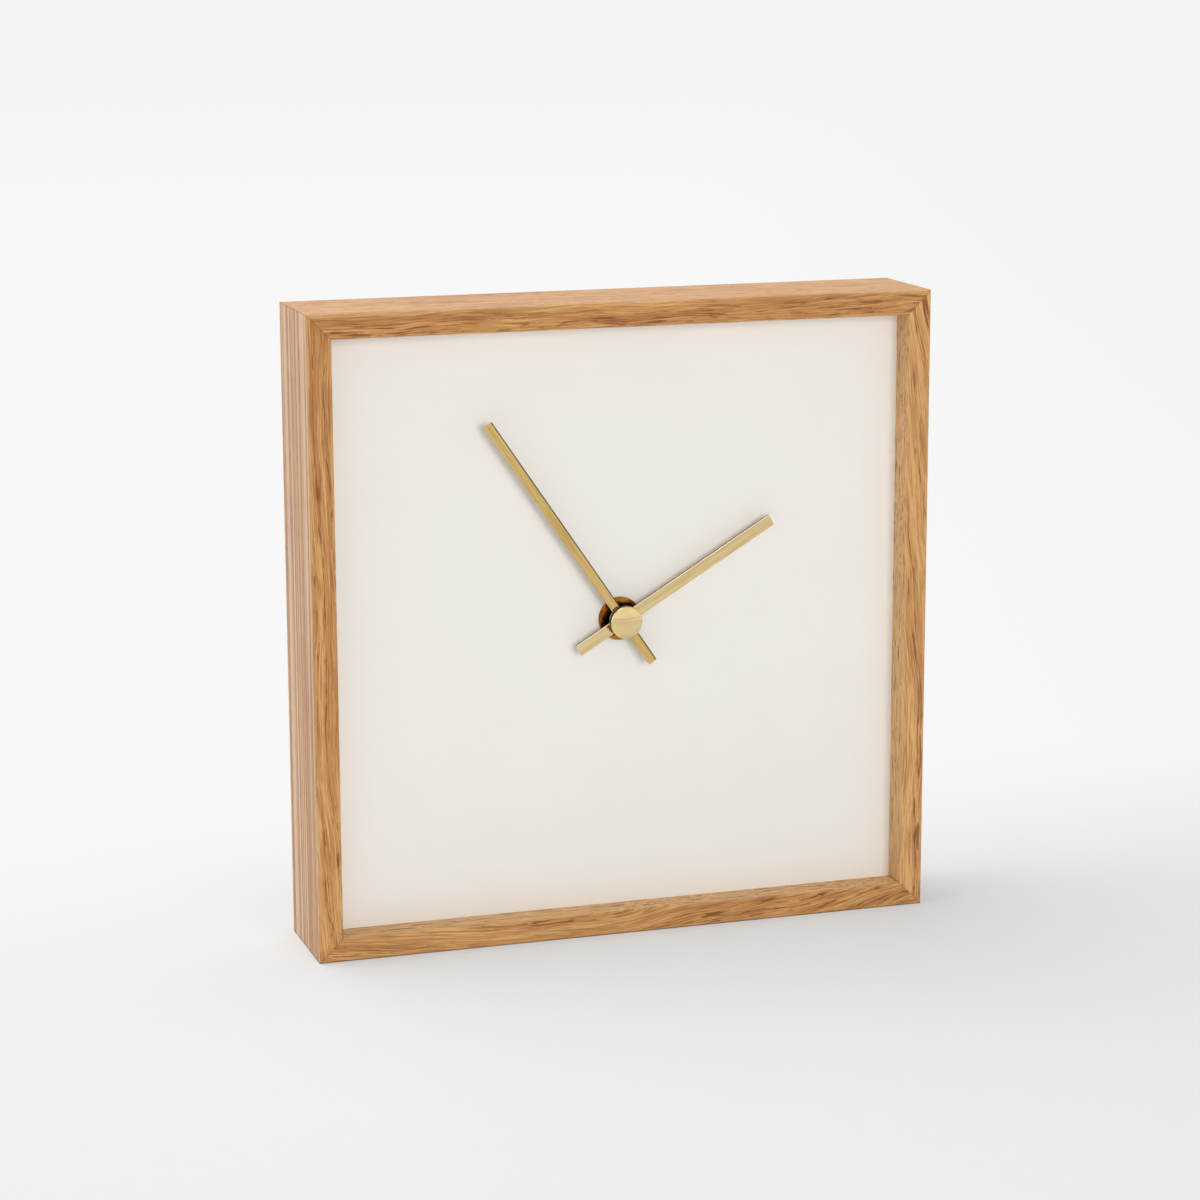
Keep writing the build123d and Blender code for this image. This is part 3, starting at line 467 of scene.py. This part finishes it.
def arc(centre_radius, centre_depth, size, start, end, steps):
    """Points of a rounded edge in the turning plane, from one bearing to another in degrees."""
    turns = [math.radians(start + (end - start) * step / steps) for step in range(steps + 1)]
    return [(centre_radius + size * math.cos(turn), centre_depth + size * math.sin(turn)) for turn in turns]


def turned(name, outline, finish, body, stands_for, sides):
    """A round piece: radius and depth pairs spun about the hands' axis, which runs front to back."""
    shape = bmesh.new()
    rings = [ring_of(shape, round_points(*hand_axis, radius, sides if radius > 0 else 1), depth)
             for radius, depth in outline]
    pairs = list(zip(rings, rings[1:]))
    if outline[0][0] > 0 and outline[-1][0] > 0:
        pairs.append((rings[-1], rings[0]))
    for near, far in pairs:
        for here in range(sides):
            corners = [ring[place % len(ring)]
                       for ring, place in ((near, here), (near, here + 1), (far, here + 1), (far, here))]
            shape.faces.new(list(dict.fromkeys(corners)))
    bmesh.ops.recalc_face_normals(shape, faces=shape.faces)
    new_piece(name, shape, finish, body, stands_for)


amber_brass = fitting_brass("amber_washer_brass", tone(186, 122, 36), tone(138, 80, 19), tone(84, 42, 10),
                            sheen=0.16)
rolled_rim = arc(rim - rolled, low.y + rolled, rolled, -90, 0, 5)
inside = [(rim, high.y), (bore, high.y), (bore, low.y + bore_edge), (bore + bore_edge, low.y)]
turned("rolled_dial_washer", rolled_rim + inside, amber_brass, "case", ["dial_washer"],
       sides=72)

# Hands: two flat bars of polished brass with short tails, sawn square and stoned to eased long edges.
# One long edge of each hand is painted dark as a painted dark reflection, and on the hour hand a painted
# highlight runs beside it. The hour hand grips its pipe by a small collet, and the minute hand is
# clamped under the cap.


def hand_brass(name, bright, deep, side, sheen, bearing, edge_way, painted_dark_from):
    """Polished brass with streaks along the hand's bearing in degrees. The long edge that faces edge_way
    gets a painted highlight as a pale line, and where it turns further over, past the given share, it
    is painted dark as a painted dark reflection."""
    metal = Finish(name, metallic=1.0)
    spot = own_place(metal)
    run, rise = math.cos(math.radians(bearing)), math.sin(math.radians(bearing))
    along = metal.span("DOT_PRODUCT", spot, (run, 0, rise))
    across = metal.span("DOT_PRODUCT", spot, (-rise, 0, run))
    on_hand = metal.add("CombineXYZ", {0: along, 1: across})
    streaks = metal.cloud(on_hand, (0.045, 0.9, 0), detail=3.0, rough=0.6)
    turned_over = metal.span("DOT_PRODUCT", metal.add("TexCoord", out="Normal"), edge_way)
    shine = metal.blend(metal.between(streaks, 0.38, 0.64), bright, deep)
    # A painted highlight lies as a pale line where the edge turns toward edge_way, and a painted dark
    # reflection where it turns further.
    shine = metal.blend(metal.between(turned_over, 0.08, 0.30), shine, tone(253, 243, 218))
    burnish(metal, streaks, shine, metal.between(turned_over, painted_dark_from, painted_dark_from + 0.30), side, sheen)
    return metal


# The side tones are the painted dark reflections on the hands' turned edges.
hour_brass = hand_brass("pale_hand_brass", tone(238, 214, 162), tone(226, 197, 138), tone(70, 50, 24),
                        sheen=0.08, bearing=30.7, edge_way=(-0.51, 0, 0.86), painted_dark_from=0.70)
# The minute hand's brass is a deeper copy of the hour hand's, which paints the darker reflection on its face.
minute_brass = hand_brass("deep_hand_brass", tone(228, 195, 126), tone(212, 175, 104), tone(9, 6, 3),
                          sheen=0.08, bearing=124.3, edge_way=(0.83, 0, 0.56), painted_dark_from=0.02)
eased("hour_hand", 0.36 * mm, hour_brass, "hour", steps=3)
eased("minute_hand", 0.42 * mm, minute_brass, "minute", steps=3)

# Hand cap: a closed nut with a domed top, turned from brass bar and polished bright. It goes on the end
# of the minute pipe and clamps the minute hand. Its side wall is painted near black, a painted dark
# reflection.
low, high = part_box("hand_cap")
cap_radius = (high.x - low.x) / 2
crown, crown_share, dome_steps = 1.3 * mm, 0.955, 14
shoulder_round, seat_edge = 0.45 * mm, 0.15 * mm
bright_brass = fitting_brass("bright_cap_brass", tone(238, 213, 160), tone(230, 203, 147), tone(12, 9, 5),
                             sheen=0.05)
dome = (cap_radius ** 2 + crown ** 2) / (2 * crown)
radii = [cap_radius * crown_share * step / dome_steps for step in range(dome_steps + 1)]
crown_line = [(radius, low.y + dome - math.sqrt(dome ** 2 - radius ** 2)) for radius in radii]
shoulder = arc(cap_radius - shoulder_round, crown_line[-1][1] + shoulder_round, shoulder_round, -55, 0, 5)
seat = [(cap_radius, high.y - seat_edge), (cap_radius - seat_edge, high.y), (0, high.y)]
turned("domed_hand_cap", crown_line + shoulder + seat, bright_brass, "minute", ["hand_cap"],
       sides=96)

# Wheels and pipes: white acetal mouldings, each wheel in one piece with its pinion, pivots or pipe. They
# run between the front plate and a bridge. The bridge and the coil's bobbin are of the same plastic.
acetal = moulded("white_acetal", tone(226, 224, 216), tone(236, 234, 228), sheen=0.35, grit=3.0)
for node in ("hour_wheel", "minute_pipe", "centre_wheel", "third_wheel", "fourth_wheel", "fifth_wheel",
             "rotor", "motion_wheel", "train_bridge", "coil_bobbin"):
    paint_node(node, acetal)

# Step motor: a stator and a coil core pressed from soft iron, a coil wound of enamelled copper wire and a
# sintered magnet on the rotor. The stator and the core sit on moulded pegs of the front plate.
wire_pitch = 0.22


def pressed_metal(name, light, dark, sheen):
    """Rolled and pressed sheet metal: long roll marks and a grey bloom."""
    metal = Finish(name, metallic=1.0)
    spot = own_place(metal)
    roll_marks = metal.cloud(spot, (0.25, 5.0, 5.0), detail=3.0, rough=0.6)
    bloom = metal.cloud(spot, (0.4, 0.4, 0.4), detail=3.0)
    metal.give(base_color=metal.blend(metal.spread(bloom), light, dark),
               roughness=metal.spread(roll_marks, sheen, sheen + 0.15))
    metal.dents(roll_marks, 0.01 * mm, 0.4)
    return metal


soft_iron = pressed_metal("pressed_soft_iron", tone(168, 168, 166), tone(142, 142, 142), sheen=0.34)
paint_node("stator", soft_iron)
paint_node("coil_core", soft_iron)
paint_node("rotor_magnet", pressed_metal("sintered_magnet", tone(74, 74, 78), tone(56, 56, 60), sheen=0.5))

wire = Finish("enamelled_copper_wire", metallic=1.0)
spot = own_place(wire)
turns_of_wire = wire.reckon("SINE", wire.reckon("MULTIPLY", wire.axes(spot)[0], 2 * math.pi / wire_pitch))
varnish = wire.cloud(spot, (0.5, 2.0, 2.0))
# The copper darkens between the turns of wire: painted shade in the grooves between turns.
copper = wire.blend(wire.between(turns_of_wire, -1.0, 1.0), tone(120, 58, 26), tone(196, 112, 62))
wire.give(base_color=copper, roughness=wire.spread(varnish, 0.25, 0.4))
wire.dents(turns_of_wire, 0.06 * mm, 0.8)
paint_node("coil_winding", wire)

# Circuit: a small board of green laminate on two moulded pegs. Behind it sit the crystal, in a plated
# metal can, and the chip, under a cover of black resin.
laminate = moulded("green_laminate", tone(26, 84, 48), tone(34, 98, 58), sheen=0.36, grit=2.0)
chip_resin = moulded("black_chip_resin", tone(22, 22, 22), tone(34, 34, 33), sheen=0.45, grit=5.0)
nickel = pressed_metal("nickel_plate", tone(206, 202, 192), tone(186, 182, 172), sheen=0.22)
paint_node("circuit_board", laminate)
paint_node("chip_cover", chip_resin)
paint_node("quartz_crystal", nickel)

# Battery and contacts: one plain cell in a shrunk sleeve, bare steel at both ends, that lies in the open
# bay of the housing. Two contacts bent from nickel-plated strip press on its ends.
low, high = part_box("battery")
bare_base, bare_top, sleeve_blur = 1.0, 2.0, 0.2
eased("negative_contact", 0.06 * mm, nickel, "case")
eased("positive_contact", 0.06 * mm, nickel, "case")

cell = Finish("cell_sleeve")
spot = own_place(cell)
along_cell = cell.axes(spot)[0]
sleeve_from, sleeve_to = low.x / mm + bare_base, high.x / mm - bare_top
past_base = cell.between(along_cell, sleeve_from, sleeve_from + sleeve_blur)
before_top = cell.between(along_cell, sleeve_to, sleeve_to - sleeve_blur)
sleeve = cell.reckon("MULTIPLY", past_base, before_top)
scuffs = cell.cloud(spot, (0.3, 1.6, 1.6), detail=4.0, rough=0.65)
scuffed = cell.spread(scuffs)
film_blue = cell.blend(scuffed, tone(58, 92, 128), tone(66, 102, 138))
bare_steel = cell.blend(scuffed, tone(198, 196, 190), tone(176, 174, 168))
cell.give(base_color=cell.blend(sleeve, bare_steel, film_blue), metallic=cell.reckon("SUBTRACT", 1.0, sleeve),
          roughness=cell.spread(scuffs, 0.28, 0.42))
cell.dents(scuffs, 0.02 * mm, 0.3)
eased("battery", 0.35 * mm, cell, "case", steps=3)

# Back panel: a thin sheet of hardboard let into the back of the rebate, where it rests on the corner
# blocks. It has a square opening over the movement and four countersunk holes for its screws.
low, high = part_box("back_panel")
middle = ((high.x + low.x) / 2, (high.z + low.z) / 2)
half_wide, half_high = (high.x - low.x) / 2, (high.z - low.z) / 2
panel_edge, panel_corner, window_edge = 0.25 * mm, 0.6 * mm, 0.2 * mm
window_wide, window_high = 75.9 / 2 * mm, 75.65 / 2 * mm
window_corner, window_middle = 6.0 * mm, (0.0, 100.03 * mm)
screw_inset, hole_play, hole_sides = 5.8 * mm, 0.15 * mm, 40
head_radius, shank_radius, sink = 3.0 * mm, 1.6 * mm, 1.5 * mm
screw_places = [(x, z) for x in (low.x + screw_inset, high.x - screw_inset)
                for z in (low.z + screw_inset, high.z - screw_inset)]

hardboard = Finish("tempered_hardboard", specular_ior_level=0.4)
spot = own_place(hardboard)
felted = hardboard.cloud(spot, (1.6, 1.6, 1.6), detail=4.0, rough=0.65)
flecks = hardboard.cloud(spot, (0.5, 3.0, 3.0), detail=3.0, rough=0.6)
stain = hardboard.cloud(spot, (0.03, 0.03, 0.03), detail=3.0)
board = hardboard.blend(hardboard.spread(stain), tone(146, 106, 68), tone(158, 117, 77))
board = hardboard.blend(hardboard.between(felted, 0.35, 0.7, 0.0, 0.5), board, tone(122, 85, 52))
board = hardboard.blend(hardboard.between(flecks, 0.58, 0.7, 0.0, 0.5), board, tone(188, 150, 108))
hardboard.give(base_color=board, roughness=hardboard.spread(felted, 0.48, 0.62))
hardboard.dents(felted, 0.05 * mm, 0.4)


def sheet_between(shape, *loops):
    """A flat face bounded by one outer loop, with the other loops cut out of it."""
    edges = []
    for loop in loops:
        for here in range(len(loop)):
            edge = shape.edges.get((loop[here - 1], loop[here]))
            edges.append(edge or shape.edges.new((loop[here - 1], loop[here])))
    bmesh.ops.triangle_fill(shape, use_beauty=True, edges=edges)


def squared_points(x, z, half_x, half_z, radius, steps):
    """A rectangle with rounded corners, as points in order."""
    points = []
    for corner, (side, end) in enumerate(((1, 1), (-1, 1), (-1, -1), (1, -1))):
        for step in range(steps + 1):
            turn = math.pi / 2 * (corner + step / steps)
            points.append((x + side * (half_x - radius) + radius * math.cos(turn),
                           z + end * (half_z - radius) + radius * math.sin(turn)))
    return points


def panel_loop(inset, depth):
    points = squared_points(*middle, half_wide - inset, half_high - inset, panel_corner, 3)
    return ring_of(panel, points, depth)


def window_loop(grow, depth):
    points = squared_points(*window_middle, window_wide + grow, window_high + grow, window_corner + grow, 10)
    return ring_of(panel, points, depth)


panel = bmesh.new()
outer = [panel_loop(panel_edge, low.y), panel_loop(0, low.y + panel_edge),
         panel_loop(0, high.y - panel_edge), panel_loop(panel_edge, high.y)]
inner = [window_loop(window_edge, low.y), window_loop(0, low.y + window_edge),
         window_loop(0, high.y - window_edge), window_loop(window_edge, high.y)]
hole_outline = ((shank_radius, low.y), (shank_radius, high.y - sink), (head_radius + hole_play, high.y))
holes = [[ring_of(panel, round_points(x, z, radius, hole_sides), depth) for radius, depth in hole_outline]
         for x, z in screw_places]
for stack in [outer, inner] + holes:
    for near, far in zip(stack, stack[1:]):
        wall(panel, near, far)
sheet_between(panel, outer[0], inner[0], *[stack[0] for stack in holes])
sheet_between(panel, outer[-1], inner[-1], *[stack[-1] for stack in holes])
bmesh.ops.recalc_face_normals(panel, faces=panel.faces)
new_piece("hardboard_back", panel, hardboard, "case", ["back_panel"])

# Back screws: four countersunk wood screws of zinc-plated steel with cross recesses, driven through the
# back panel into the corner blocks. Each was left at its own turn.
arm, arm_half, recess, recess_taper = 1.75 * mm, 0.42 * mm, 0.9 * mm, 0.62
head_edge, head_sunk = 0.12 * mm, 0.05 * mm
first_turn, turn_apart = math.radians(17), math.radians(31)
zinc = pressed_metal("zinc_plated_steel", tone(190, 192, 192), tone(160, 163, 166), sheen=0.26)


def cross_points(x, z, lean, share):
    """The outline of a cross recess about a place, turned by lean and drawn in to a share of its size."""
    points = []
    for quarter in range(4):
        turn = lean + math.pi / 2 * quarter
        for out, aside in ((arm, -arm_half), (arm, arm_half), (arm_half, arm_half)):
            points.append((x + share * (out * math.cos(turn) - aside * math.sin(turn)),
                           z + share * (out * math.sin(turn) + aside * math.cos(turn))))
    return points


screws = bmesh.new()
top = high.y - head_sunk
screw_outline = ((head_radius - head_edge, top), (head_radius, top - head_edge), (shank_radius, top - sink),
                 (shank_radius, top - 2 * sink))
for number, (x, z) in enumerate(screw_places):
    lean = first_turn + turn_apart * number
    mouth = ring_of(screws, cross_points(x, z, lean, 1.0), top)
    foot = ring_of(screws, cross_points(x, z, lean, recess_taper), top - recess)
    rims = [ring_of(screws, round_points(x, z, radius, hole_sides), depth) for radius, depth in screw_outline]
    for near, far in zip(rims, rims[1:]):
        wall(screws, near, far)
    wall(screws, mouth, foot)
    screws.faces.new(foot)
    screws.faces.new(rims[-1])
    sheet_between(screws, rims[0], mouth)
bmesh.ops.recalc_face_normals(screws, faces=screws.faces)
new_piece("back_screws", screws, zinc, "case")

# Studio floor: a wide round of pale seamless paper, laid flat. Behind the clock and far from it the
# paper glows where the lens or a mirror sees it, so that it meets the surround with no edge. The glow is
# brighter at the left than at the right, a painted fall-off of the light across the paper.
surround = tone(244, 244, 244)
floor_reach, floor_sides = 6.0, 96
least_share = 0.30
shade_middle, wide_from, wide_full = (0, -0.35, 0), 0.50, 1.15
behind_from, behind_full = -0.02, 0.17
right_way, right_from, right_full = (0.95, -0.31, 0), 0.05, 0.50
far_from, far_full = 2.4, 5.2


def seen_directly(nodes):
    """One for what the lens, a mirror or a clear pane sees, nought for what only lights the object."""
    rays = nodes.add("LightPath").node.outputs
    seen = rays["Is Camera Ray"]
    for ray in ("Is Glossy Ray", "Is Transmission Ray"):
        seen = nodes.reckon("MAXIMUM", seen, rays[ray])
    return seen


ground = bmesh.new()
bmesh.ops.create_circle(ground, cap_ends=True, radius=floor_reach, segments=floor_sides)
floor_mesh = bpy.data.meshes.new("studio_floor")
ground.to_mesh(floor_mesh)
ground.free()
floor = bpy.data.objects.new("studio_floor", floor_mesh)
bpy.context.scene.collection.objects.link(floor)
sweep = Finish("seamless_paper", specular_ior_level=0.1)
spot = sweep.add("TexCoord", out="Object")
fibre = sweep.cloud(spot, (90, 90, 90))
sweep.give(base_color=sweep.blend(fibre, tone(227, 228, 228), tone(229, 230, 230)),
           roughness=sweep.spread(fibre, 0.85, 0.95))
away = sweep.span("DISTANCE", spot, shade_middle)
behind = sweep.between(sweep.axes(spot)[1], behind_from, behind_full, least_share, 1.0)
wide = sweep.between(away, wide_from, wide_full, least_share, 1.0)
share = sweep.reckon("MULTIPLY", sweep.reckon("MAXIMUM", behind, wide), seen_directly(sweep))
# Painted light: the glow is brighter at the left and falls off towards the right.
rightward = sweep.span("DOT_PRODUCT", spot, right_way)
to_right = sweep.between(rightward, right_from, right_full)
lit_tone = sweep.blend(to_right, tone(248, 248, 248), tone(243, 243, 243))
lit_tone = sweep.blend(sweep.between(away, far_from, far_full), lit_tone, surround)
glow = sweep.add("Emission", {0: lit_tone})
paper = sweep.add("MixShader", {0: share, 1: sweep.surface.outputs[0], 2: glow})
sweep.feed(sweep.tree.nodes["Material Output"].inputs[0], paper)
floor_mesh.materials.append(sweep.material)

# Studio light: an even white surround, shown with a faint grey band above the horizon, and three square
# soft lamps on stands. One hangs above and behind the clock, one stands in front and one at the left.
white = tone(255, 255, 255)
surround_strength = 0.41
clock_middle = Vector((0, 0, half_side))

world = bpy.data.worlds.new("white_surround")
world.use_nodes = True
bpy.context.scene.world = world
sky = Nodes(world.node_tree)
lit = sky.tree.nodes["Background"]
sky.feed(lit.inputs["Color"], white)
sky.feed(lit.inputs["Strength"], surround_strength)
height = sky.axes(sky.add("TexCoord", out="Generated"))[2]
shown = sky.add("Background", {0: sky.ramp(height, [
    (0.0, surround), (0.015, tone(216, 215, 213)), (0.035, tone(222, 221, 219)), (0.075, surround),
    (0.16, white)])})
pick = sky.add("MixShader", {0: seen_directly(sky), 1: lit.outputs[0], 2: shown})
sky.feed(sky.tree.nodes["World Output"].inputs[0], pick)


def softbox(name, place, side, power):
    """A square soft lamp turned to face the clock."""
    lamp = bpy.data.lights.new(name, "AREA")
    lamp.shape = "SQUARE"
    lamp.size = side
    lamp.energy = power
    stand = bpy.data.objects.new(name, lamp)
    stand.location = place
    stand.rotation_euler = (clock_middle - Vector(place)).to_track_quat("-Z", "Y").to_euler()
    bpy.context.scene.collection.objects.link(stand)
    return stand


softbox("overhead_softbox", place=(-0.35, 0.45, 1.4), side=1.4, power=15.5)
front_lamp = softbox("front_softbox", place=(0.26, -2.6, 0.62), side=1.2, power=29.5)
front_lamp.visible_glossy = False
softbox("left_softbox", place=(-1.6, 0.25, 0.7), side=1.4, power=6.2)

# Camera: a long lens on a stand a little to the left of the clock and above it, aimed just beside the
# middle of the dial, with a slight lean and no shift.
yaw, pitch, roll = (math.radians(turn) for turn in (-17.836, 11.876, -0.188))
aim = Vector((-9.23 * mm, rail_front, 108.18 * mm))
stand_off = 1016.7 * mm
focal, film_width = 98.83, 36.0
nearest, farthest = 0.05, 50.0
back = Vector((math.sin(yaw) * math.cos(pitch), -math.cos(yaw) * math.cos(pitch), math.sin(pitch)))
level = (-back).cross(Vector((0, 0, 1))).normalized()
upright = level.cross(-back)
right = level * math.cos(roll) + upright * math.sin(roll)
up = upright * math.cos(roll) - level * math.sin(roll)
lens = bpy.data.cameras.new("studio_camera")
lens.lens = focal
lens.sensor_width = film_width
lens.clip_start = nearest
lens.clip_end = farthest
camera = bpy.data.objects.new("studio_camera", lens)
bpy.context.scene.collection.objects.link(camera)
camera_turn = Matrix((right, up, back)).transposed().to_4x4()
camera.matrix_world = Matrix.Translation(aim + back * stand_off) @ camera_turn
bpy.context.scene.camera = camera
bpy.context.scene.view_settings.view_transform = "Standard"
